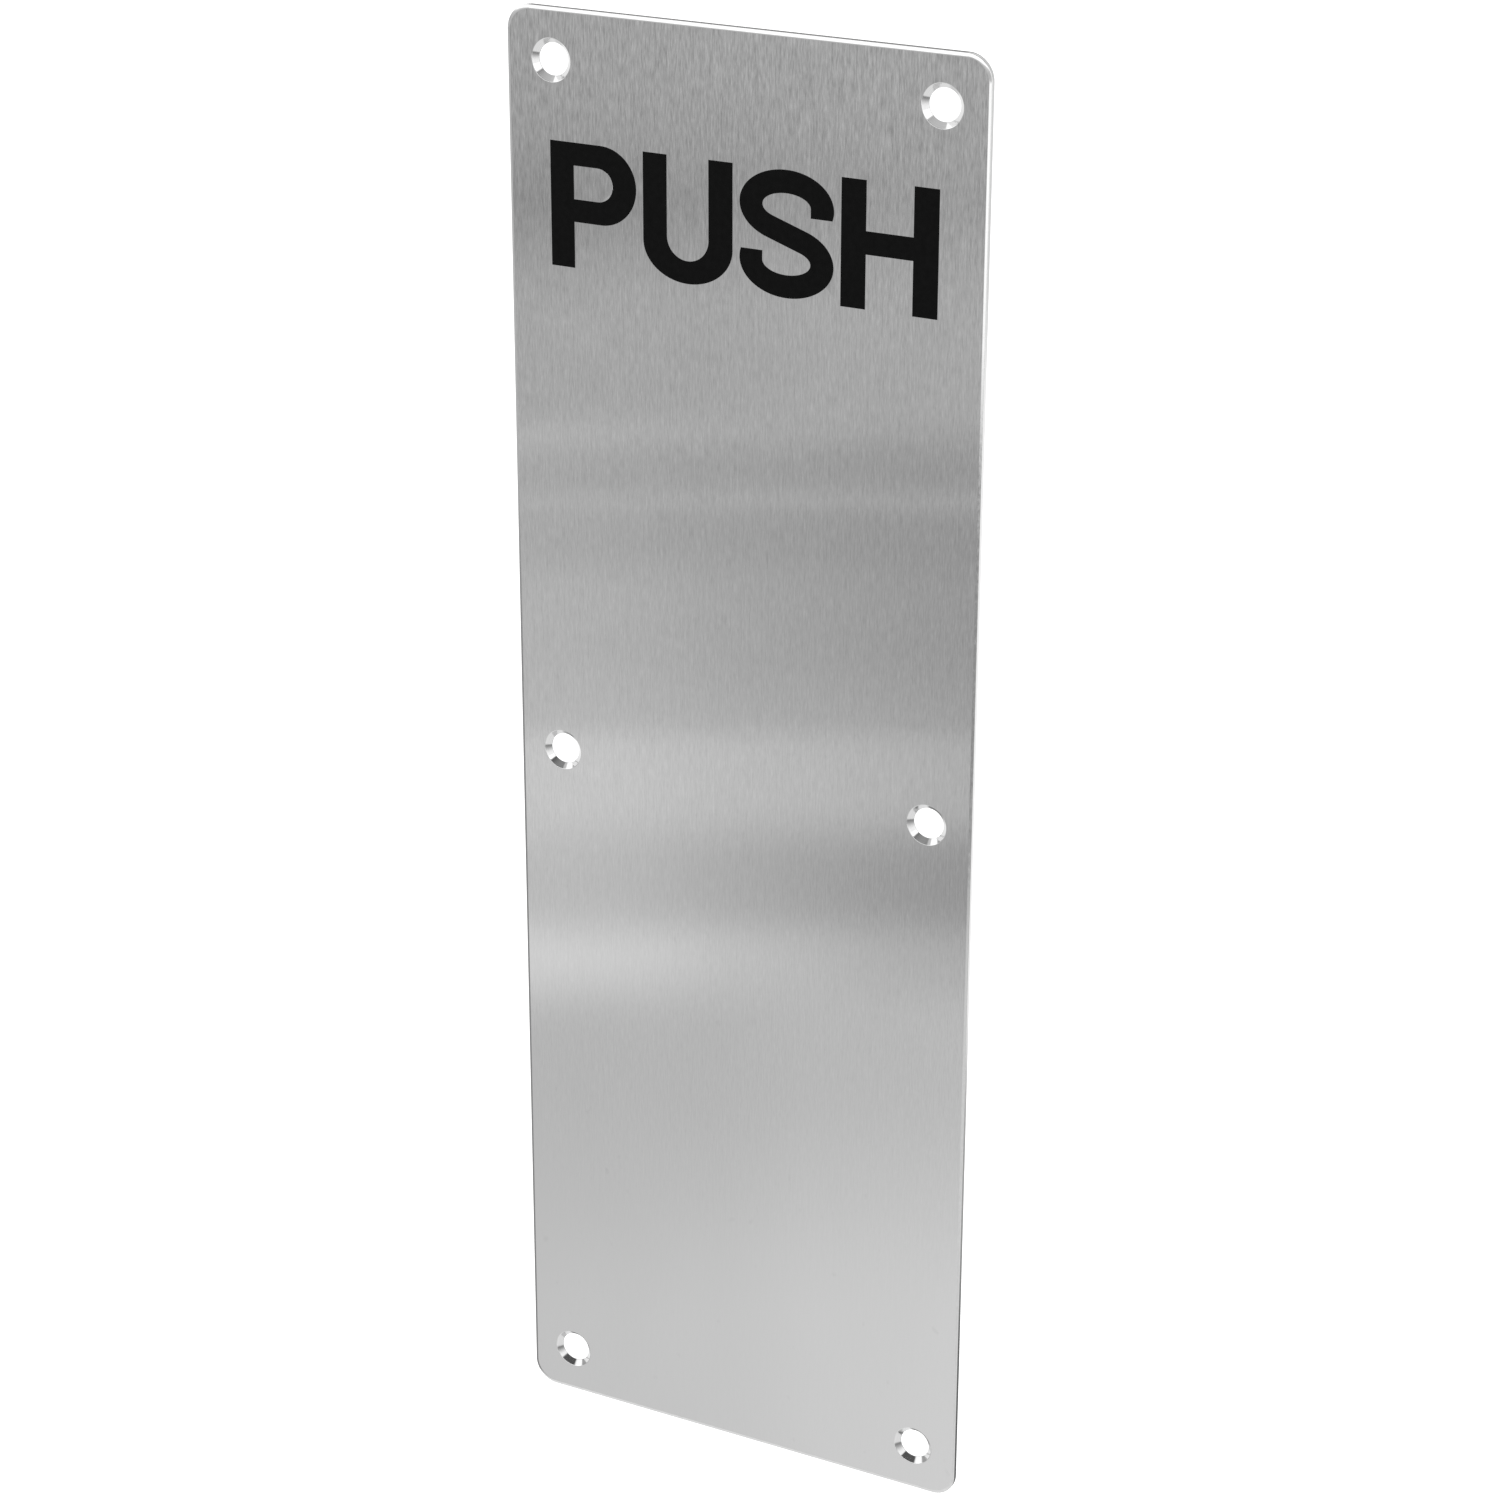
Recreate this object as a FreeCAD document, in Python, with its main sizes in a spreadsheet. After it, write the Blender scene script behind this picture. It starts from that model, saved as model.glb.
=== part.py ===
import FreeCAD, Part
import math
import os
import Sketcher

# Door finger plate of brushed sheet steel, upright as it hangs on a door.
# +Z is up, the back face lies on Y = 0 and the front face looks along -Y.
doc = FreeCAD.newDocument("door_finger_plate")

# Driving dimensions, in millimetres and degrees
drivingSizes = {
    "plateHeight": 300,
    "plateWidth": 100,
    "plateThickness": 1.2,
    "cornerRadius": 5,
    "frontRollWidth": 0.5,
    "frontRollDepth": 0.18,
    "screwSideInset": 9.5,
    "screwEndInset": 10,
    "screwBore": 6.3,
    "countersinkWidth": 8.4,
    "countersinkAngle": 90,
    "letterDepth": 0.25,
    "letterHeight": 24.3,
    "letterDrop": 25.2,
    "letterGap": 1.45,
    "wordShift": -0.3,
    "stemStroke": 5.1,
    "barStroke": 4.4,
    "curveStroke": 4.8,
    "firstWidth": 18.6,
    "firstBowlHeight": 15.3,
    "secondWidth": 19.05,
    "secondFootHeight": 7.6,
    "thirdWidth": 19.6,
    "thirdSpineSlope": 18.5,
    "thirdTerminalDrop": 1.7,
    "fourthWidth": 19.8,
    "fourthCrossbarBase": 10.4,
}

dims = doc.addObject("Spreadsheet::Sheet", "dims")
for row, (alias, value) in enumerate(drivingSizes.items(), start=1):
    dims.set(f"A{row}", alias)
    dims.set(f"B{row}", str(value))
    dims.setAlias(f"B{row}", alias)
doc.recompute()


def bind(target, formulas):
    for path, formula in formulas.items():
        target.setExpression(path, formula)


def originPlane(body, role):
    return next(plane for plane in body.Origin.OriginFeatures if plane.Role == role)


def uprightSketch(body, name):
    sketch = body.newObject("Sketcher::SketchObject", name)
    sketch.AttachmentSupport = [(originPlane(body, "XZ_Plane"), "")]
    sketch.MapMode = "FlatFace"
    return sketch


# The blank: a rectangle centred on the origin, with round corners and a front edge rolled down by the shears
blank = doc.addObject("PartDesign::Body", "plateBlank")
outline = uprightSketch(blank, "plateOutline")
halfWidth = dims.plateWidth / 2
halfHeight = dims.plateHeight / 2
corners = [
    FreeCAD.Vector(-halfWidth, -halfHeight, 0),
    FreeCAD.Vector(halfWidth, -halfHeight, 0),
    FreeCAD.Vector(halfWidth, halfHeight, 0),
    FreeCAD.Vector(-halfWidth, halfHeight, 0),
]
for index, corner in enumerate(corners):
    outline.addGeometry(Part.LineSegment(corner, corners[(index + 1) % len(corners)]))
for side in range(len(corners)):
    outline.addConstraint(Sketcher.Constraint("Coincident", side, 2, (side + 1) % len(corners), 1))
    outline.addConstraint(Sketcher.Constraint("Vertical" if side % 2 else "Horizontal", side))
outline.addConstraint(Sketcher.Constraint("Symmetric", 0, 1, 1, 2, -1, 1))
widthRule = outline.addConstraint(Sketcher.Constraint("DistanceX", 0, 1, 0, 2, dims.plateWidth))
heightRule = outline.addConstraint(Sketcher.Constraint("DistanceY", 1, 1, 1, 2, dims.plateHeight))
bind(outline, {
    f"Constraints[{widthRule}]": "dims.plateWidth",
    f"Constraints[{heightRule}]": "dims.plateHeight",
})

sheet = blank.newObject("PartDesign::Pad", "sheetThickness")
sheet.Profile = outline
bind(sheet, {"Length": "dims.plateThickness"})
doc.recompute()


def edgesWhere(feature, test):
    return [f"Edge{number}" for number, edge in enumerate(feature.Shape.Edges, start=1) if test(edge)]


def crossesSheet(edge):
    return abs(edge.BoundBox.YLength - dims.plateThickness) < Part.Precision.confusion()


def liesOnFront(edge):
    return edge.BoundBox.YMax < -dims.plateThickness + Part.Precision.confusion()


roundCorners = blank.newObject("PartDesign::Fillet", "roundCorners")
roundCorners.Base = (sheet, edgesWhere(sheet, crossesSheet))
bind(roundCorners, {"Radius": "dims.cornerRadius"})
doc.recompute()

rolledFront = blank.newObject("PartDesign::Chamfer", "rolledFrontEdge")
rolledFront.Base = (roundCorners, edgesWhere(roundCorners, liesOnFront))
rolledFront.ChamferType = "Two distances"
bind(rolledFront, {"Size": "dims.frontRollDepth", "Size2": "dims.frontRollWidth"})
doc.recompute()

# Six countersunk screw holes, a pair near each end and a pair halfway
holeCentres = uprightSketch(blank, "screwCentres")
bind(holeCentres, {"AttachmentOffset.Base.z": "dims.plateThickness"})
columnReach = dims.plateWidth / 2 - dims.screwSideInset
rowReach = dims.plateHeight / 2 - dims.screwEndInset
columnFormula = "(dims.plateWidth / 2 - dims.screwSideInset)"
rowFormula = "(dims.plateHeight / 2 - dims.screwEndInset)"
for column in (-1, 1):
    for level in (-1, 0, 1):
        centre = FreeCAD.Vector(column * columnReach, level * rowReach, 0)
        hole = holeCentres.addGeometry(Part.Circle(centre, FreeCAD.Vector(0, 0, 1), dims.screwBore / 2))
        acrossRule = holeCentres.addConstraint(Sketcher.Constraint("DistanceX", hole, 3, centre.x))
        upRule = holeCentres.addConstraint(Sketcher.Constraint("DistanceY", hole, 3, centre.y))
        boreRule = holeCentres.addConstraint(Sketcher.Constraint("Diameter", hole, dims.screwBore))
        bind(holeCentres, {
            f"Constraints[{acrossRule}]": f"{column} * {columnFormula}",
            f"Constraints[{upRule}]": f"{level} * {rowFormula}",
            f"Constraints[{boreRule}]": "dims.screwBore",
        })
doc.recompute()

solidBlankVolume = blank.Shape.Volume
screwHoles = blank.newObject("PartDesign::Hole", "screwHoles")
screwHoles.Profile = holeCentres
doc.recompute()
screwHoles.ThreadType = "None"
screwHoles.DepthType = "ThroughAll"
screwHoles.HoleCutType = "Countersink"
screwHoles.HoleCutCustomValues = True
bind(screwHoles, {
    "Diameter": "dims.screwBore",
    "HoleCutDiameter": "dims.countersinkWidth",
    "HoleCutCountersinkAngle": "dims.countersinkAngle",
})
doc.recompute()
print("screw holes remove", round(solidBlankVolume - blank.Shape.Volume, 2), "mm3")


# Block letters of straight bars and round bowls, drawn flat with their baseline on Y = 0 and depth along Z
def bar(name, left, base, width, height):
    piece = doc.addObject("Part::Box", name)
    bind(piece, {
        "Length": width,
        "Width": height,
        "Height": "dims.letterDepth",
        "Placement.Base.x": left,
        "Placement.Base.y": base,
    })
    return piece


def sector(name, centreX, centreY, radius, start, sweep):
    piece = doc.addObject("Part::Cylinder", name)
    piece.Placement.Rotation.Axis = FreeCAD.Vector(0, 0, 1)
    bind(piece, {
        "Radius": radius,
        "Height": "dims.letterDepth",
        "Angle": sweep,
        "Placement.Base.x": centreX,
        "Placement.Base.y": centreY,
        "Placement.Rotation.Angle": start,
    })
    return piece


def cut(name, base, tool):
    piece = doc.addObject("Part::Cut", name)
    piece.Base = base
    piece.Tool = tool
    return piece


def fuse(name, pieces):
    piece = doc.addObject("Part::MultiFuse", name)
    piece.Shapes = pieces
    piece.Refine = True
    return piece


def oval(name, centreX, centreY, across, up):
    ring = doc.addObject("Part::Ellipse", f"{name}Ring")
    bind(ring, {
        "MajorRadius": across,
        "MinorRadius": up,
        "Placement.Base.x": centreX,
        "Placement.Base.y": centreY,
    })
    piece = doc.addObject("Part::Extrusion", name)
    piece.Base = ring
    piece.Dir = FreeCAD.Vector(0, 0, 1)
    piece.DirMode = "Custom"
    piece.Solid = True
    bind(piece, {"LengthFwd": "dims.letterDepth"})
    return piece


# First letter: a stem with a round bowl at its top
def firstLetter():
    bowlRadius = "dims.firstBowlHeight / 2"
    bowlBase = "dims.letterHeight - dims.firstBowlHeight"
    bowlHeart = f"dims.letterHeight - {bowlRadius}"
    bowlReach = f"dims.firstWidth - {bowlRadius}"
    holeRadius = f"({bowlRadius} - dims.barStroke)"
    holeReach = f"dims.firstWidth - dims.stemStroke - {holeRadius}"
    whole = fuse("firstWhole", [
        bar("firstStem", "0", "0", "dims.stemStroke", "dims.letterHeight"),
        bar("firstBowlBlock", "0", bowlBase, bowlReach, "dims.firstBowlHeight"),
        sector("firstBowlEnd", bowlReach, bowlHeart, bowlRadius, "-90", "180"),
    ])
    opening = fuse("firstOpening", [
        bar("firstOpeningBlock", "dims.stemStroke", f"{bowlBase} + dims.barStroke",
            f"{holeReach} - dims.stemStroke", f"2 * {holeRadius}"),
        sector("firstOpeningEnd", holeReach, bowlHeart, holeRadius, "-90", "180"),
    ])
    return cut("firstLetter", whole, opening)


# Second letter: two stems on an oval foot, with a half-round end to the opening between them
def secondLetter():
    middle = "dims.secondWidth / 2"
    openRadius = f"({middle} - dims.stemStroke)"
    openHeart = f"(dims.barStroke + {openRadius})"
    whole = fuse("secondWhole", [
        bar("secondBlock", "0", "dims.secondFootHeight", "dims.secondWidth",
            "dims.letterHeight - dims.secondFootHeight"),
        oval("secondFoot", middle, "dims.secondFootHeight", middle, "dims.secondFootHeight"),
    ])
    opening = fuse("secondOpening", [
        bar("secondOpeningBlock", "dims.stemStroke", openHeart, f"2 * {openRadius}",
            f"dims.letterHeight - {openHeart}"),
        sector("secondOpeningFoot", middle, openHeart, openRadius, "180", "180"),
    ])
    return cut("secondLetter", whole, opening)


# Third letter: two oval bowls joined by a sloping spine, each with an arm that ends in a level cut.
# The bowls' height is the one that makes the spine tangent to both of them at the given slope, and no
# primitive has that outline, so it is drawn here from the sheet's sizes.
def thirdLetter():
    slope = math.radians(dims.thirdSpineSlope)
    drop = dims.thirdTerminalDrop
    outerAcross = dims.thirdWidth / 2
    innerAcross = outerAcross - dims.curveStroke

    def reach(across, up):
        return math.hypot(across * math.sin(slope), up * math.cos(slope))

    shortest, tallest = dims.barStroke, dims.letterHeight / 2
    while tallest - shortest > Part.Precision.confusion():
        outerUp = (shortest + tallest) / 2
        spare = (dims.letterHeight - 2 * outerUp) * math.cos(slope)
        if spare > reach(outerAcross, outerUp) + reach(innerAcross, outerUp - dims.barStroke):
            shortest = outerUp
        else:
            tallest = outerUp
    innerUp = outerUp - dims.barStroke

    def tangentTurn(across, up):
        return math.pi + math.atan2(up * math.cos(slope), across * math.sin(slope))

    outerEnd = math.asin(-drop / outerUp)
    turns = {
        (outerAcross, outerUp): (outerEnd, tangentTurn(outerAcross, outerUp)),
        (innerAcross, innerUp): (0, tangentTurn(innerAcross, innerUp)),
    }
    heart = FreeCAD.Vector(outerAcross, dims.letterHeight / 2, 0)
    lift = FreeCAD.Vector(0, dims.letterHeight / 2 - outerUp, 0)
    edges = []
    spineEnds = []
    for half in (1, -1):
        centre = heart + lift * half
        for (across, up), (first, last) in turns.items():
            axes = FreeCAD.Vector(across * half, 0, 0), FreeCAD.Vector(0, up * half, 0)
            ring = Part.Ellipse(centre + axes[0], centre + axes[1], centre)
            edges.append(Part.ArcOfEllipse(ring, first, last).toShape())
            spineEnds.append(ring.value(last))
        innerSide = centre + FreeCAD.Vector(innerAcross * half, 0, 0)
        innerTip = innerSide + FreeCAD.Vector(0, -drop * half, 0)
        outerTip = centre + FreeCAD.Vector(outerAcross * math.cos(outerEnd) * half, -drop * half, 0)
        edges += [Part.makeLine(innerSide, innerTip), Part.makeLine(innerTip, outerTip)]
    upperOuter, upperInner, lowerOuter, lowerInner = spineEnds
    edges += [Part.makeLine(upperOuter, lowerInner), Part.makeLine(upperInner, lowerOuter)]

    piece = doc.addObject("Part::Feature", "thirdLetter")
    face = Part.Face(Part.Wire(Part.__sortEdges__(edges)))
    piece.Shape = face.extrude(FreeCAD.Vector(0, 0, dims.letterDepth))
    return piece


# Fourth letter: two stems and a crossbar
def fourthLetter():
    rightStem = "dims.fourthWidth - dims.stemStroke"
    return fuse("fourthLetter", [
        bar("fourthLeftStem", "0", "0", "dims.stemStroke", "dims.letterHeight"),
        bar("fourthRightStem", rightStem, "0", "dims.stemStroke", "dims.letterHeight"),
        bar("fourthCrossbar", "dims.stemStroke", "dims.fourthCrossbarBase",
            f"{rightStem} - dims.stemStroke", "dims.barStroke"),
    ])


# The word stands near the middle of the width, one gap between letters, flush with the front face
letters = [firstLetter(), secondLetter(), thirdLetter(), fourthLetter()]
letterWidths = ["dims.firstWidth", "dims.secondWidth", "dims.thirdWidth", "dims.fourthWidth"]
wordWidth = f"({' + '.join(letterWidths)} + {len(letterWidths) - 1} * dims.letterGap)"
for index, letter in enumerate(letters):
    before = "".join(f" + {width} + dims.letterGap" for width in letterWidths[:index])
    bind(letter, {"Placement.Base.x": f"dims.wordShift - {wordWidth} / 2{before}"})

infill = doc.addObject("Part::Compound", "letterInfill")
infill.Links = letters
infill.Placement.Rotation = FreeCAD.Rotation(FreeCAD.Vector(1, 0, 0), 90)
bind(infill, {
    "Placement.Base.y": "dims.letterDepth - dims.plateThickness",
    "Placement.Base.z": "dims.plateHeight / 2 - dims.letterDrop - dims.letterHeight",
})
infill.Label = "letter_infill"

plate = cut("engravedPlate", blank, infill)
plate.Label = "finger_plate"
doc.recompute()

# Nothing is written unless every object is sound
for item in doc.Objects:
    if "Invalid" in item.State or "Error" in item.State:
        raise RuntimeError(f"{item.Name} did not build: {item.State}")
os.makedirs("parts", exist_ok=True)
for piece in (plate, infill):
    shape = piece.Shape
    if shape.isNull() or not shape.isValid():
        raise RuntimeError(f"{piece.Label} has no sound shape")
    shape.exportStep(f"parts/{piece.Label}.step")
    print(piece.Label, len(shape.Solids), "solids,", round(shape.Volume, 2), "mm3")
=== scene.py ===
# Door finger plate: looks for the brushed sheet, its screw holes and its enamelled word.
import math

import bmesh
import bpy
from mathutils import Matrix, Quaternion, Vector


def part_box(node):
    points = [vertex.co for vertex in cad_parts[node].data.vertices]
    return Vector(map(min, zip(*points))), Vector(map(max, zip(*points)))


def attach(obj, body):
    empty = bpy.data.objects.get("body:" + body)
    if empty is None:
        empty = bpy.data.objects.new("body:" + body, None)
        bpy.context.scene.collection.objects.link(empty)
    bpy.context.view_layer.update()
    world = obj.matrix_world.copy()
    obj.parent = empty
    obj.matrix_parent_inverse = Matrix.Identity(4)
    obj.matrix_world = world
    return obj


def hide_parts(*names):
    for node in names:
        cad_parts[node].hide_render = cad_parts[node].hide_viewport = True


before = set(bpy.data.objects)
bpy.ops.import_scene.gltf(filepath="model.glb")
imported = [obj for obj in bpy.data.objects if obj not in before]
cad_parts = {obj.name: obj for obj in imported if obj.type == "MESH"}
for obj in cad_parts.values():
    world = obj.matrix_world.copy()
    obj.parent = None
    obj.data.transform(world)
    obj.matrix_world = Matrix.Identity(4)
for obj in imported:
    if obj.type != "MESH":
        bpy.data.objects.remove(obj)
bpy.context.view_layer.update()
mm = 0.001
print("frame loaded:", ", ".join(sorted(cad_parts)))


# Small helpers for meshes
def newPiece(name, bm, finishes=()):
    mesh = bpy.data.meshes.new(name)
    bm.to_mesh(mesh)
    bm.free()
    piece = bpy.data.objects.new(name, mesh)
    bpy.context.scene.collection.objects.link(piece)
    for finish in finishes:
        mesh.materials.append(finish)
    return piece


def isLevel(vert, level):
    return abs(vert.co.y - level) < 1e-7


# Edges on a level that border anything but the flat face there
def outlineEdges(bm, level):
    edges = [e for e in bm.edges if all(isLevel(v, level) for v in e.verts)]
    return [e for e in edges if any(abs(f.normal.y) < 0.999 for f in e.link_faces)]


def softenEdges(bm, edges, offset, steps):
    bmesh.ops.bevel(bm, geom=edges, offset=offset, offset_type="OFFSET", affect="EDGES",
                    segments=steps, profile=0.5, material=-1)


def evenNormals(piece, sharpAngle):
    piece.data.set_sharp_from_angle(angle=math.radians(sharpAngle))
    even = piece.modifiers.new("evenNormals", "WEIGHTED_NORMAL")
    even.mode, even.weight, even.keep_sharp = "FACE_AREA", 100, True


# Small helpers for nodes
noiseSpan = (0.3, 0.7)        # most of a noise lies between these


def addNode(tree, kind, inputs=None, **settings):
    node = tree.nodes.new(kind)
    for name, value in settings.items():
        setattr(node, name, value)
    for socket, value in (inputs or {}).items():
        if isinstance(value, bpy.types.NodeSocket):
            tree.links.new(value, node.inputs[socket])
        else:
            node.inputs[socket].default_value = value
    return node


def mathOut(tree, operation, first, second=0.0, third=0.0):
    inputs = {0: first, 1: second, 2: third}
    return addNode(tree, "ShaderNodeMath", inputs, operation=operation).outputs[0]


def rangeOut(tree, value, fromLow, fromHigh, toLow, toHigh, smooth=False):
    kind = "SMOOTHSTEP" if smooth else "LINEAR"
    inputs = {"Value": value, "From Min": fromLow, "From Max": fromHigh, "To Min": toLow, "To Max": toHigh}
    return addNode(tree, "ShaderNodeMapRange", inputs, interpolation_type=kind).outputs["Result"]


def objectPlace(tree):
    return addNode(tree, "ShaderNodeTexCoord").outputs["Object"]


def heightOut(tree):
    return addNode(tree, "ShaderNodeSeparateXYZ", {"Vector": objectPlace(tree)}).outputs["Z"]


# A noise stretched by a mapping: scale is in cycles a metre along X, Y and Z
def stretchedNoise(tree, scale, detail=2.0, roughness=0.5, shift=(0, 0, 0), place=None):
    inputs = {"Vector": place or objectPlace(tree), "Scale": scale, "Location": shift}
    mapped = addNode(tree, "ShaderNodeMapping", inputs).outputs["Vector"]
    inputs = {"Vector": mapped, "Scale": 1.0, "Detail": detail, "Roughness": roughness}
    return addNode(tree, "ShaderNodeTexNoise", inputs).outputs["Fac"]


# A tone that follows a noise between two shares of itself
def toneOut(tree, noise, tone, shares):
    return rangeOut(tree, noise, *noiseSpan, tone * shares[0], tone * shares[1])


def newFinish(name, metallic=0.0):
    finish = bpy.data.materials.new(name)
    finish.use_nodes = True
    tree = finish.node_tree
    tree.nodes.clear()
    output = tree.nodes.new("ShaderNodeOutputMaterial")
    shader = tree.nodes.new("ShaderNodeBsdfPrincipled")
    shader.inputs["Metallic"].default_value = metallic
    tree.links.new(shader.outputs["BSDF"], output.inputs["Surface"])
    return finish, tree, shader


def setGrey(tree, shader, value):
    grey = addNode(tree, "ShaderNodeCombineColor", {"Red": value, "Green": value, "Blue": value})
    tree.links.new(grey.outputs["Color"], shader.inputs["Base Color"])


def setRoughness(tree, shader, noise, limits, span=noiseSpan):
    tree.links.new(rangeOut(tree, noise, *span, *limits), shader.inputs["Roughness"])


def setRelief(tree, shader, height, depth):
    bump = addNode(tree, "ShaderNodeBump", {"Height": height, "Strength": 1.0, "Distance": depth})
    tree.links.new(bump.outputs["Normal"], shader.inputs["Normal"])


def setSurface(tree, shaderOut):
    output = next(n for n in tree.nodes if n.type == "OUTPUT_MATERIAL")
    tree.links.new(shaderOut, output.inputs["Surface"])


# Brushed face: upright belt lines that scatter light sideways
brushed = {
    "tone": 0.60,
    "grainAndPaintedSheenFoot": 0.01,                 # hairline contrast as a share of the tone, from foot to head; its rise towards the head is painted reflection contrast on top of the real grain
    "grainAndPaintedSheenHead": 0.2,
    "grainAndPaintedSheenHeights": (-0.11, 0.1),
    "paintedTopSheen": 0.145,                 # painted reflection contrast added close to the top edge
    "topHeights": (0.09, 0.15),
    "cloudSwing": 0.02,
    "speckSwing": -0.045,              # sparse marks from handling
    "speckSpan": (0.7, 0.8),
    "roughness": (0.0625, 0.0775),
    "roughnessSpan": (0.25, 0.75),
    "anisotropy": 1.0,
    "fineShare": 0.7,                  # fine lines against long ones
    "fineLines": {"scale": (3400, 40, 420), "detail": 3.0, "roughness": 0.6},
    "longLines": {"scale": (1500, 40, 110), "shift": (3.7, 0, 1.9)},
    "clouds": {"scale": (22, 22, 9), "shift": (0.4, 0, 7.1)},
    "specks": {"scale": (380, 40, 300), "detail": 1.0, "shift": (5.3, 0, 2.7)},
    "scratchDepth": 0.003 * mm,
    "uvName": "brushLines",
}


def brushedFinish():
    finish, tree, shader = newFinish("brushedSteel", metallic=1.0)
    fine = stretchedNoise(tree, **brushed["fineLines"])
    long = stretchedNoise(tree, **brushed["longLines"])
    clouds = stretchedNoise(tree, **brushed["clouds"])
    specks = stretchedNoise(tree, **brushed["specks"])
    fineShare = brushed["fineShare"]
    lines = mathOut(tree, "MULTIPLY_ADD", long, 1 - fineShare, mathOut(tree, "MULTIPLY", fine, fineShare))
    height = heightOut(tree)
    # the brush lines' colour contrast grows towards the top: real grain with painted reflection contrast laid
    # over it
    swing = rangeOut(tree, height, *brushed["grainAndPaintedSheenHeights"], brushed["grainAndPaintedSheenFoot"], brushed["grainAndPaintedSheenHead"])
    paintedTopSheen = rangeOut(tree, height, *brushed["topHeights"], 0, brushed["paintedTopSheen"], smooth=True)
    contrast = mathOut(tree, "MULTIPLY", rangeOut(tree, lines, *noiseSpan, -1, 1),
                       mathOut(tree, "ADD", swing, paintedTopSheen))
    cloud = rangeOut(tree, clouds, *noiseSpan, -brushed["cloudSwing"], brushed["cloudSwing"])
    speck = rangeOut(tree, specks, *brushed["speckSpan"], 1, 1 + brushed["speckSwing"])
    share = mathOut(tree, "ADD", mathOut(tree, "ADD", contrast, cloud), speck)
    setGrey(tree, shader, mathOut(tree, "MULTIPLY", share, brushed["tone"]))
    setRoughness(tree, shader, fine, brushed["roughness"], brushed["roughnessSpan"])
    setRelief(tree, shader, lines, brushed["scratchDepth"])
    tangent = addNode(tree, "ShaderNodeTangent", direction_type="UV_MAP", uv_map=brushed["uvName"])
    tree.links.new(tangent.outputs["Tangent"], shader.inputs["Tangent"])
    shader.inputs["Anisotropic"].default_value = brushed["anisotropy"]
    return finish


# Rolled and cut edges: the same steel, smoother, with faint drag lines through the sheet
cutEdge = {
    "tone": 0.62,
    "toneShares": (0.96, 1.04),
    "roughness": (0.07, 0.13),
    "drag": {"scale": (900, 6000, 900)},
    "dragDepth": 0.001 * mm,
}


def edgeFinish():
    finish, tree, shader = newFinish("cutSteelEdge", metallic=1.0)
    drag = stretchedNoise(tree, **cutEdge["drag"])
    setGrey(tree, shader, toneOut(tree, drag, cutEdge["tone"], cutEdge["toneShares"]))
    setRoughness(tree, shader, drag, cutEdge["roughness"])
    setRelief(tree, shader, drag, cutEdge["dragDepth"])
    return finish


# Countersinks: bright, with fine rings left by the cutter
turned = {
    "tone": 0.64,
    "toneShares": (0.93, 1.05),
    "roughness": (0.06, 0.12),
    "rings": {"scale": (160, 9000, 1)},     # round the hole, then through the sheet
    "ringDepth": 0.0015 * mm,
    "uvName": "cutterRings",
}


def turnedFinish():
    finish, tree, shader = newFinish("turnedSteel", metallic=1.0)
    place = addNode(tree, "ShaderNodeUVMap", uv_map=turned["uvName"]).outputs["UV"]
    rings = stretchedNoise(tree, **turned["rings"], place=place)
    setGrey(tree, shader, toneOut(tree, rings, turned["tone"], turned["toneShares"]))
    setRoughness(tree, shader, rings, turned["roughness"])
    setRelief(tree, shader, rings, turned["ringDepth"])
    return finish


# Back of the sheet: dull mill finish with rolling lines and faint clouds
millBack = {
    "tone": 0.52,
    "lineShares": (0.95, 1.05),
    "cloudShares": (0.93, 1.05),
    "roughness": (0.29, 0.39),
    "lines": {"scale": (700, 40, 16), "detail": 3.0, "roughness": 0.6, "shift": (1.3, 0, 0.6)},
    "clouds": {"scale": (35, 35, 20), "detail": 3.0, "roughness": 0.55, "shift": (0.9, 0, 2.2)},
    "lineDepth": 0.003 * mm,
}


def millFinish():
    finish, tree, shader = newFinish("millSteelBack", metallic=1.0)
    lines = stretchedNoise(tree, **millBack["lines"])
    clouds = stretchedNoise(tree, **millBack["clouds"])
    tone = toneOut(tree, lines, millBack["tone"], millBack["lineShares"])
    cloud = toneOut(tree, clouds, 1.0, millBack["cloudShares"])
    setGrey(tree, shader, mathOut(tree, "MULTIPLY", tone, cloud))
    setRoughness(tree, shader, clouds, millBack["roughness"])
    setRelief(tree, shader, lines, millBack["lineDepth"])
    return finish


# Enamel in the letters: satin black with a trace of flow texture
enamel = {
    "tone": 0.0035,
    "toneShares": (0.8, 1.2),
    "roughness": (0.36, 0.48),
    "specular": 0.05,
    "flow": {"scale": (900, 900, 900), "detail": 3.0},
    "flowDepth": 0.002 * mm,
}


def enamelFinish():
    finish, tree, shader = newFinish("blackEnamel")
    flow = stretchedNoise(tree, **enamel["flow"])
    setGrey(tree, shader, toneOut(tree, flow, enamel["tone"], enamel["toneShares"]))
    setRoughness(tree, shader, flow, enamel["roughness"])
    setRelief(tree, shader, flow, enamel["flowDepth"])
    shader.inputs["Specular IOR Level"].default_value = enamel["specular"]
    return finish


finishes = {
    "face": brushedFinish(),
    "edge": edgeFinish(),
    "countersink": turnedFinish(),
    "back": millFinish(),
    "enamel": enamelFinish(),
}
print("finishes made:", ", ".join(finishes))

# The sheet: a blank with rolled front edges, then six countersunk holes and the engraved word
sheet = {
    "cornerRadius": 5 * mm,
    "cornerSteps": 28,
    "rollSide": 0.5 * mm,          # width of the rolled edge along the long sides
    "rollEnd": 0.72 * mm,          # wider at the ends, where the belt runs off
    "rollDepth": 0.18 * mm,
    "rollSoftening": 0.1 * mm,
    "rimSoftening": 0.1 * mm,
    "backSoftening": 0.08 * mm,
    "softeningSteps": 3,
    "sharpAngle": 32,
    "weld": 2e-7,
    "flatFacing": 0.9999,          # a face turned this far to front or back is flat
    "faceBand": 0.01 * mm,
}
low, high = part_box("finger_plate")
frontY, backY = low.y, high.y


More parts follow.
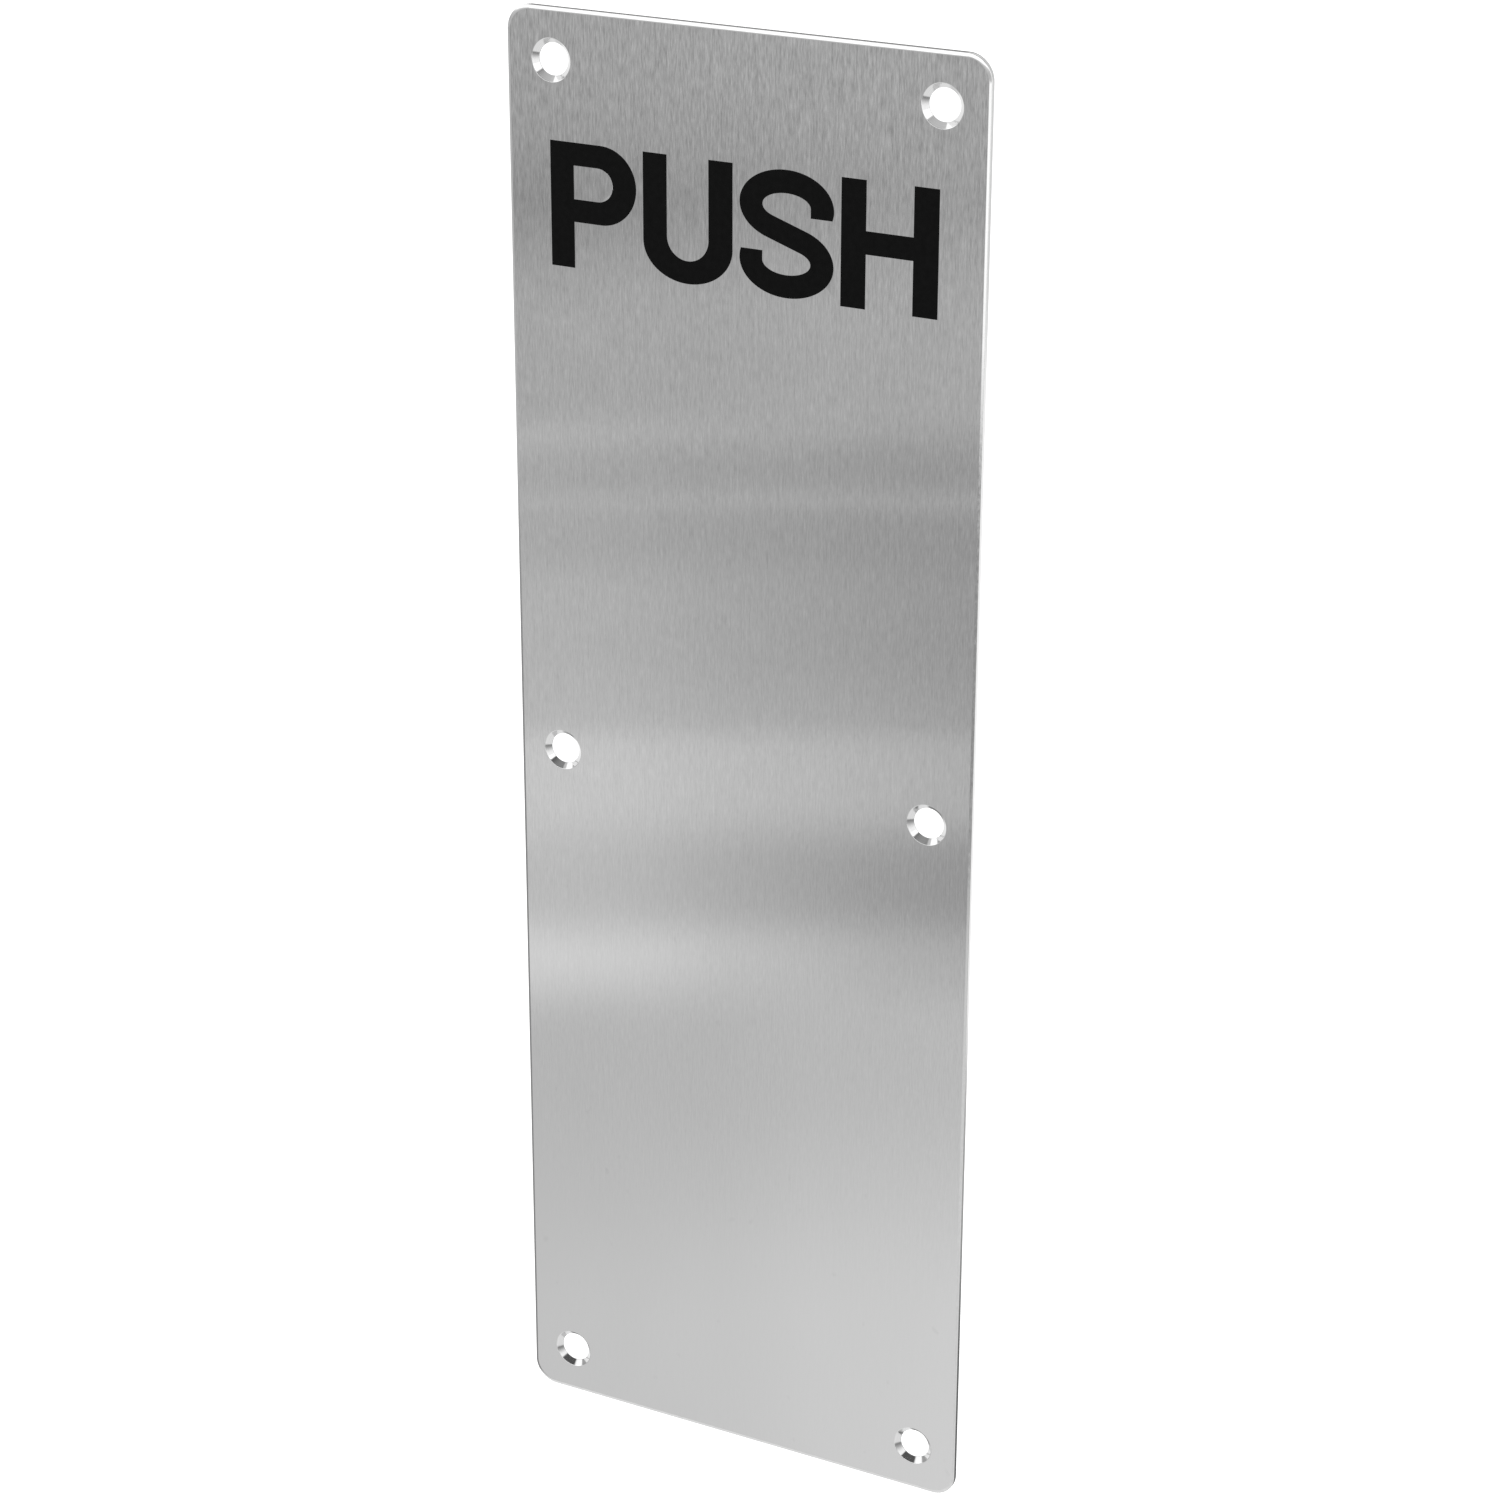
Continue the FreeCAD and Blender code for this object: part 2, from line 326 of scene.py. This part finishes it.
def sheetBlank():
    size, middle, steps = high - low, (high + low) / 2, sheet["softeningSteps"]
    bm = bmesh.new()
    bmesh.ops.create_cube(bm, size=1)
    bmesh.ops.scale(bm, vec=size, verts=bm.verts)
    bmesh.ops.translate(bm, vec=middle, verts=bm.verts)
    corners = [e for e in bm.edges if abs((e.verts[0].co - e.verts[1].co).y) > size.y / 2]
    softenEdges(bm, corners, sheet["cornerRadius"], sheet["cornerSteps"])
    # the front outline drops back, and the face inside it stays level
    front = min(bm.faces, key=lambda f: f.calc_center_median().y)
    bmesh.ops.inset_region(bm, faces=[front], thickness=sheet["rollSide"], depth=0,
                           use_even_offset=True, use_boundary=True)
    front = min(bm.faces, key=lambda f: f.calc_center_median().y - f.calc_area())
    inner = set(front.verts)
    outer = {v for v in bm.verts if isLevel(v, frontY) and v not in inner}
    stretch = (size.z / 2 - sheet["rollEnd"]) / (size.z / 2 - sheet["rollSide"])
    bmesh.ops.scale(bm, vec=(1, 1, stretch), verts=list(inner))
    bmesh.ops.translate(bm, vec=(0, sheet["rollDepth"], 0), verts=list(outer))
    bm.normal_update()
    outside = [e for e in bm.edges if all(v in outer for v in e.verts)]
    softenEdges(bm, list(front.edges), sheet["rollSoftening"], steps)
    softenEdges(bm, [e for e in outside if e.is_valid], sheet["rimSoftening"], steps)
    softenEdges(bm, outlineEdges(bm, backY), sheet["backSoftening"], steps)
    bmesh.ops.recalc_face_normals(bm, faces=bm.faces)
    return newPiece("fingerPlateSheet", bm)


# Screw holes: a cone from the front with a slightly flared rim, then a plain bore
screwHole = {
    "across": 40.5 * mm,
    "rows": (140 * mm, 0.0, -140 * mm),
    "rimRadius": 4.2 * mm,
    "boreRadius": 3.15 * mm,
    "flare": 0.05 * mm,
    "rimLoops": [(3, -0.6), (1, 0), (-1, 1.2), (-2, 2.2)],     # outwards and back from the rim, in flares
    "overshoot": 0.5 * mm,
    "steps": 144,
    "weld": 1e-7,
    "rimBand": 0.3 * mm,
    "coneFacing": 0.1,             # faces of the bore turn less than this to the front
}
holeCentres = [Vector((side * screwHole["across"], 0, row)) for row in screwHole["rows"] for side in (-1, 1)]


def countersinkCutter():
    rim, bore, flare, over = (screwHole[k] for k in ("rimRadius", "boreRadius", "flare", "overshoot"))
    profile = [(0, frontY - over), (rim + over, frontY - over)]
    profile += [(rim + out * flare, frontY + back * flare) for out, back in screwHole["rimLoops"]]
    profile += [(bore, frontY + rim - bore), (bore, backY + over), (0, backY + over)]
    bm = bmesh.new()
    for centre in holeCentres:
        points = [bm.verts.new((centre.x + r, y, centre.z)) for r, y in profile]
        edges = [bm.edges.new(pair) for pair in zip(points, points[1:])]
        bmesh.ops.spin(bm, geom=points + edges, cent=centre, axis=(0, 1, 0), dvec=(0, 0, 0), angle=math.tau,
                       steps=screwHole["steps"], use_merge=True, use_duplicate=False)
    bmesh.ops.remove_doubles(bm, verts=bm.verts, dist=screwHole["weld"])
    bmesh.ops.recalc_face_normals(bm, faces=bm.faces)
    return newPiece("countersinkCutter", bm)


def nearestHole(point):
    return min(holeCentres, key=lambda c: (point.x - c.x) ** 2 + (point.z - c.z) ** 2)


# The word: cut into the sheet, then filled with enamel a hair below the face, with a soft lip at the steel
infill = {
    "weld": 1e-6,
    "flatAngle": 0.5,
    "frontBand": 0.05 * mm,        # points this close behind the face are on the letters' fronts
    "overshoot": 0.2 * mm,
    "sink": 0.02 * mm,
    "lip": 0.05 * mm,
    "lipSteps": 2,
    "sharpAngle": 40,
}


# The letters' solids with their fronts moved back by the given amount
def letterCopy(moveBack):
    bm = bmesh.new()
    bm.from_mesh(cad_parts["letter_infill"].data)
    bmesh.ops.remove_doubles(bm, verts=bm.verts, dist=infill["weld"])
    bmesh.ops.dissolve_limit(bm, angle_limit=math.radians(infill["flatAngle"]), verts=bm.verts, edges=bm.edges)
    fronts = [v for v in bm.verts if v.co.y < frontY + infill["frontBand"]]
    bmesh.ops.translate(bm, vec=(0, moveBack, 0), verts=fronts)
    return bm


def engraver():
    return newPiece("engraver", letterCopy(-infill["overshoot"]))


def enamelInfill():
    bm = letterCopy(infill["sink"])
    bm.normal_update()
    softenEdges(bm, outlineEdges(bm, frontY + infill["sink"]), infill["lip"], infill["lipSteps"])
    for face in bm.faces:
        face.smooth = True
    piece = newPiece("enamelLetters", bm, [finishes["enamel"]])
    evenNormals(piece, infill["sharpAngle"])
    return piece


def cutAway(piece, cutters):
    for cutter in cutters:
        cut = piece.modifiers.new(cutter.name, "BOOLEAN")
        cut.operation, cut.solver, cut.object = "DIFFERENCE", "EXACT", cutter
    bpy.context.view_layer.update()
    blank = piece.data
    piece.data = bpy.data.meshes.new_from_object(piece.evaluated_get(bpy.context.evaluated_depsgraph_get()))
    piece.data.name = piece.name
    piece.modifiers.clear()
    bpy.data.meshes.remove(blank)
    for cutter in cutters:
        bpy.data.objects.remove(cutter)


# Finishes by place, and maps that follow the brush lines and the cutter's rings
def dressSheet(piece):
    slots = ("face", "edge", "countersink", "back")
    for key in slots:
        piece.data.materials.append(finishes[key])
    bm = bmesh.new()
    bm.from_mesh(piece.data)
    bmesh.ops.remove_doubles(bm, verts=bm.verts, dist=sheet["weld"])
    bm.normal_update()
    brushUv = bm.loops.layers.uv.new(brushed["uvName"])
    ringUv = bm.loops.layers.uv.new(turned["uvName"])
    for face in bm.faces:
        middle, facing = face.calc_center_median(), face.normal.y
        hole = nearestHole(middle)
        fromHole = math.hypot(middle.x - hole.x, middle.z - hole.z)
        if facing < -sheet["flatFacing"] and middle.y < frontY + sheet["faceBand"]:
            key = "face"
        elif facing > sheet["flatFacing"]:
            key = "back"
        elif fromHole < screwHole["rimRadius"] + screwHole["rimBand"]:
            # the cutter leaves the cone bright and the punched bore dull
            key = "countersink" if abs(facing) > screwHole["coneFacing"] else "back"
        else:
            key = "edge"
        face.material_index = slots.index(key)
        face.smooth = True
        for loop in face.loops:
            at = loop.vert.co
            loop[brushUv].uv = (at.x, at.z)
            loop[ringUv].uv = (math.atan2(at.z - hole.z, at.x - hole.x) * screwHole["boreRadius"], at.y)
    bm.to_mesh(piece.data)
    bm.free()
    evenNormals(piece, sheet["sharpAngle"])


plate = sheetBlank()
cutAway(plate, [countersinkCutter(), engraver()])
dressSheet(plate)
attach(plate, "root")
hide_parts("finger_plate")
print("sheet made:", len(plate.data.polygons), "faces")

letters = enamelInfill()
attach(letters, "root")
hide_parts("letter_infill")
print("letters made:", len(letters.data.polygons), "faces")

# Floor: plain and pale, below the hanging plate, white to the camera and keeping its soft shadow
white = (1, 1, 1, 1)
floor = {
    "level": -0.6,
    "half": 9.0,
    "squares": 8,
    "tone": 0.85,
    "toneSwing": 0.01,
    "clouds": {"scale": (3, 3, 3)},
    "roughness": 0.9,
    "glow": 0.62,
}


def paleFloor():
    bm = bmesh.new()
    bmesh.ops.create_grid(bm, x_segments=floor["squares"], y_segments=floor["squares"], size=floor["half"])
    bmesh.ops.translate(bm, vec=(0, 0, floor["level"]), verts=bm.verts)
    finish, tree, shader = newFinish("paleFloor")
    clouds, tone, swing = stretchedNoise(tree, **floor["clouds"]), floor["tone"], floor["toneSwing"]
    setGrey(tree, shader, rangeOut(tree, clouds, *noiseSpan, tone - swing, tone + swing))
    shader.inputs["Roughness"].default_value = floor["roughness"]
    seen = addNode(tree, "ShaderNodeLightPath").outputs["Is Camera Ray"]
    strength = mathOut(tree, "MULTIPLY", seen, floor["glow"])
    glow = addNode(tree, "ShaderNodeEmission", {"Color": white, "Strength": strength})
    both = addNode(tree, "ShaderNodeAddShader", {0: shader.outputs["BSDF"], 1: glow.outputs["Emission"]})
    setSurface(tree, both.outputs["Shader"])
    piece = newPiece("paleFloor", bm, [finish])
    piece.visible_glossy = False


paleFloor()

# Studio seen in the steel. The floor is sheets of paper, from the horizon down: where each begins, how soft
# its edge is, and how light it lies left and right of the seam. Elevations and azimuths are in degrees;
# azimuth 0 is straight out of the plate's face and grows to the right.
studioFloor = {
    "seam": (-31.2, -23.9),
    "far": (0.55, 0.59),
    "sheets": [
        ("dip", -13.5, 0.9, 0.43, 0.56),
        ("rise", -14.9, 0.9, 0.62, 0.64),
        ("strip", -17.5, 0.25, 0.79, 0.58),
        ("shade", -17.8, 0.3, 0.64, 0.50),
        ("hairline", -18.6, 0.12, 0.79, 0.76),
        ("gap", -18.72, 0.15, 0.66, 0.48),
        ("panel", -19.7, 0.4, 0.75, 0.51),
        ("lip", -21.4, 0.6, 0.79, 0.57),
        ("sheet", -22.2, 0.25, 0.96, 0.71),
        ("fold", -23.7, 0.5, 0.86, 0.47),
        ("bright", -25.15, 0.45, 1.10, 0.65),
        ("near", -26.1, 0.6, 0.76, 0.81),
        ("middle", -28.7, 1.5, 0.83, 0.95),
        ("foot", -30.2, 1.0, 0.88, 1.02),
    ],
}

# Cards and flags round the floor; later ones lie over earlier ones
allRound = None
studioCards = [
    # name, azimuths, elevations, soft edge across, soft edge up, level
    ("upperRoom", allRound, (-9.5, 95), 1, 1, 0.85),
    ("rightLine", (-6, 45), (-17.5, -9), 4, 1, 1.7),
    ("rightFloor", (-4, 45), (-45, -17.5), 4, 1, 0.95),
    ("rightStrip", (-20, 21), (-24.5, -17.8), 2, 0.6, 0.4),
    ("rightGlow", (23, 46), (-36, -9), 2.5, 2, 1.2),
    ("leftFar", (-88, -40), (-19, -11), 4, 1.5, 0.72),
    ("leftFloor", (-88, -40), (-45, -19), 4, 1.5, 0.36),
    ("footSheet", allRound, (-95, -48), 1, 5, 1.1),
    ("frontLow", (-75, 60), (-9.5, 3), 10, 4, 0.72),
    ("frontBox", (-75, 30), (11, 28), 10, 3, 1.9),
    ("leftBox", (-90, -44), (23, 60), 2, 3, 1.7),
    ("rightBox", (40, 75), (-20, 60), 2, 4, 1.7),
    ("rightFoot", (48, 95), (-78, -20), 6, 6, 1.1),
    ("rightRear", (90, 112), (-22, 36), 3, 5, 2.2),
    ("leftWall", (-90, -66), (-2, 20), 4, 4, 0.5),
    ("leftRear", (-178, -91), (-30, 30), 3, 3, 1.2),
    ("backLow", (-178, -128), (-56, -33), 6, 3, 0.3),
    ("backWallRight", (115, 178), (-16, -7), 8, 1, 0.95),
    ("backGlowRight", (115, 178), (-27, -16), 8, 1, 1.35),
    ("backFootRight", (115, 178), (-50, -27.5), 8, 1, 0.5),
    ("backDeepRight", (115, 178), (-60, -30.5), 8, 1, 0.18),
    ("backWallLeft", (-178, -115), (4, 20), 8, 2, 0.25),
]

# Roof panels are straight-edged. Pitch runs from the horizon overhead along the roof's own heading,
# and lean is the angle off that heading to the right.
studioRoof = {
    "heading": -13,
    "panels": [
        # name, leans, pitches, soft edge across, soft edge up, level
        ("paleRoof", (-32, 41), (50, 115), 3, 4, 0.8),
        ("darkRoof", (-19, 41), (36, 61.5), 2.5, 11, 0.12),
        ("frontGlow", (-40, 24), (20, 40), 3, 3, 1.9),
    ],
}
studioLight = {"backdrop": 1.0, "even": 0.75}


def bandOut(tree, value, limits, soft):
    begin, end = limits
    rise = rangeOut(tree, value, begin - soft, begin + soft, 0, 1, smooth=True)
    fall = rangeOut(tree, value, end - soft, end + soft, 1, 0, smooth=True)
    return mathOut(tree, "MULTIPLY", rise, fall)


def mixOut(tree, mask, below, above, name=""):
    inputs = {"Factor": mask, "A": below, "B": above}
    return addNode(tree, "ShaderNodeMix", inputs, label=name).outputs["Result"]


def mixedAxes(tree, way, alongX, alongY):
    across = mathOut(tree, "MULTIPLY", way["X"], alongX)
    return mathOut(tree, "ADD", across, mathOut(tree, "MULTIPLY", way["Y"], alongY))


def angleOut(tree, operation, first, second=0.0):
    return mathOut(tree, "DEGREES", mathOut(tree, operation, first, second))


def studioWorld():
    world = bpy.data.worlds.new("paleStudio")
    world.use_nodes = True
    tree = world.node_tree
    tree.nodes.clear()
    outwards = addNode(tree, "ShaderNodeTexCoord").outputs["Generated"]
    way = addNode(tree, "ShaderNodeSeparateXYZ", {"Vector": outwards}).outputs
    elevation = angleOut(tree, "ARCSINE", way["Z"])
    azimuth = angleOut(tree, "ARCTAN2", way["X"], mathOut(tree, "MULTIPLY", way["Y"], -1.0))
    left, right = studioFloor["far"]
    for name, begins, soft, leftTone, rightTone in studioFloor["sheets"]:
        mask = rangeOut(tree, elevation, begins + soft, begins - soft, 0, 1, smooth=True)
        left = mixOut(tree, mask, left, leftTone, name + "Left")
        right = mixOut(tree, mask, right, rightTone, name + "Right")
    seam = rangeOut(tree, azimuth, *studioFloor["seam"], 0, 1, smooth=True)
    level = mixOut(tree, seam, left, right, "seam")
    for name, azimuths, elevations, softAcross, softUp, tone in studioCards:
        mask = bandOut(tree, elevation, elevations, softUp)
        if azimuths is not allRound:
            mask = mathOut(tree, "MULTIPLY", mask, bandOut(tree, azimuth, azimuths, softAcross))
        level = mixOut(tree, mask, level, tone, name)
    heading = math.radians(studioRoof["heading"])
    forward = mixedAxes(tree, way, math.sin(heading), -math.cos(heading))
    lean = angleOut(tree, "ARCSINE", mixedAxes(tree, way, math.cos(heading), math.sin(heading)))
    pitch = angleOut(tree, "ARCTAN2", way["Z"], forward)
    for name, leans, pitches, softAcross, softUp, tone in studioRoof["panels"]:
        across = bandOut(tree, lean, leans, softAcross)
        mask = mathOut(tree, "MULTIPLY", across, bandOut(tree, pitch, pitches, softUp))
        level = mixOut(tree, mask, level, tone, name)
    # the camera sees plain white, the steel sees the cards, and all else gets even light
    ray = addNode(tree, "ShaderNodeLightPath").outputs
    plain = mixOut(tree, ray["Is Camera Ray"], studioLight["even"], studioLight["backdrop"])
    strength = mixOut(tree, ray["Is Glossy Ray"], plain, level)
    background = addNode(tree, "ShaderNodeBackground", {"Color": white, "Strength": strength})
    output = tree.nodes.new("ShaderNodeOutputWorld")
    tree.links.new(background.outputs["Background"], output.inputs["Surface"])
    world.cycles.sampling_method = "NONE"     # the steel finds the cards by its own reflections
    bpy.context.scene.world = world


studioWorld()

# A card to the right, near enough that each hole mirrors another part of it: dark low down, light at its head
rightCard = {
    "azimuth": 60,
    "distance": 0.68,
    "width": 0.62,
    "foot": -0.42,
    "head": 0.26,
    "fade": 0.1,
    "pale": 1.0,              # levels at the very foot, above it and at the head
    "dark": 0.35,
    "light": 1.4,
}


def gradedCard():
    foot, head, fade = rightCard["foot"], rightCard["head"], rightCard["fade"]
    upright = Matrix.Rotation(math.radians(90), 3, "X")
    turn = Matrix.Rotation(math.radians(rightCard["azimuth"]), 3, "Z")
    bm = bmesh.new()
    bmesh.ops.create_grid(bm, x_segments=1, y_segments=1, size=0.5)
    bmesh.ops.scale(bm, vec=(rightCard["width"], head - foot, 1), verts=bm.verts)
    bmesh.ops.rotate(bm, cent=(0, 0, 0), matrix=upright, verts=bm.verts)
    bmesh.ops.translate(bm, vec=(0, -rightCard["distance"], (foot + head) / 2), verts=bm.verts)
    bmesh.ops.rotate(bm, cent=(0, 0, 0), matrix=turn, verts=bm.verts)
    finish, tree, shader = newFinish("rightCard")
    height, dark = heightOut(tree), rightCard["dark"]
    rise = rangeOut(tree, height, foot + fade, head - fade, dark, rightCard["light"], smooth=True)
    paleFoot = rangeOut(tree, height, foot, foot + fade, rightCard["pale"] - dark, 0, smooth=True)
    strength = mathOut(tree, "ADD", rise, paleFoot)
    glow = addNode(tree, "ShaderNodeEmission", {"Color": white, "Strength": strength})
    setSurface(tree, glow.outputs["Emission"])
    tree.nodes.remove(shader)
    piece = newPiece("rightCard", bm, [finish])
    piece.visible_camera = piece.visible_diffuse = piece.visible_shadow = piece.visible_transmission = False


gradedCard()

# Two soft lamps for the floor's shadow and the enamel; the steel mirrors the cards, not these
lamps = [
    # name, place, size, power
    ("keyLamp", (-0.9, -1.1, 1.5), 1.2, 14.0),
    ("fillLamp", (1.2, -0.8, 1.2), 1.0, 8.0),
]
for name, place, size, power in lamps:
    light = bpy.data.lights.new(name, "AREA")
    light.shape, light.size, light.energy = "SQUARE", size, power
    lamp = bpy.data.objects.new(name, light)
    lamp.location = place
    lamp.rotation_euler = (-Vector(place)).to_track_quat("-Z", "Y").to_euler()
    lamp.visible_glossy = False
    bpy.context.scene.collection.objects.link(lamp)
print("studio made:", len(studioCards), "cards,", len(lamps), "lamps")

# Camera where the photograph was taken from
view = {
    "place": (0.31864, -0.60599, 0.29043),
    "aim": (0.00212, -0.00127, 0.00823),
    "roll": 0.168,
    "lens": 90.39,
    "sensor": 36,
    "reach": 50,
}


def photoCamera():
    lens = bpy.data.cameras.new("photoCamera")
    lens.lens, lens.sensor_width, lens.clip_end = view["lens"], view["sensor"], view["reach"]
    camera = bpy.data.objects.new("photoCamera", lens)
    place, aim = Vector(view["place"]), Vector(view["aim"])
    camera.location = place
    turn = (aim - place).to_track_quat("-Z", "Y") @ Quaternion((0, 0, 1), math.radians(view["roll"]))
    camera.rotation_euler = turn.to_euler()
    bpy.context.scene.collection.objects.link(camera)
    bpy.context.scene.camera = camera


photoCamera()
bpy.context.scene.view_settings.view_transform = "Standard"
print("camera set")
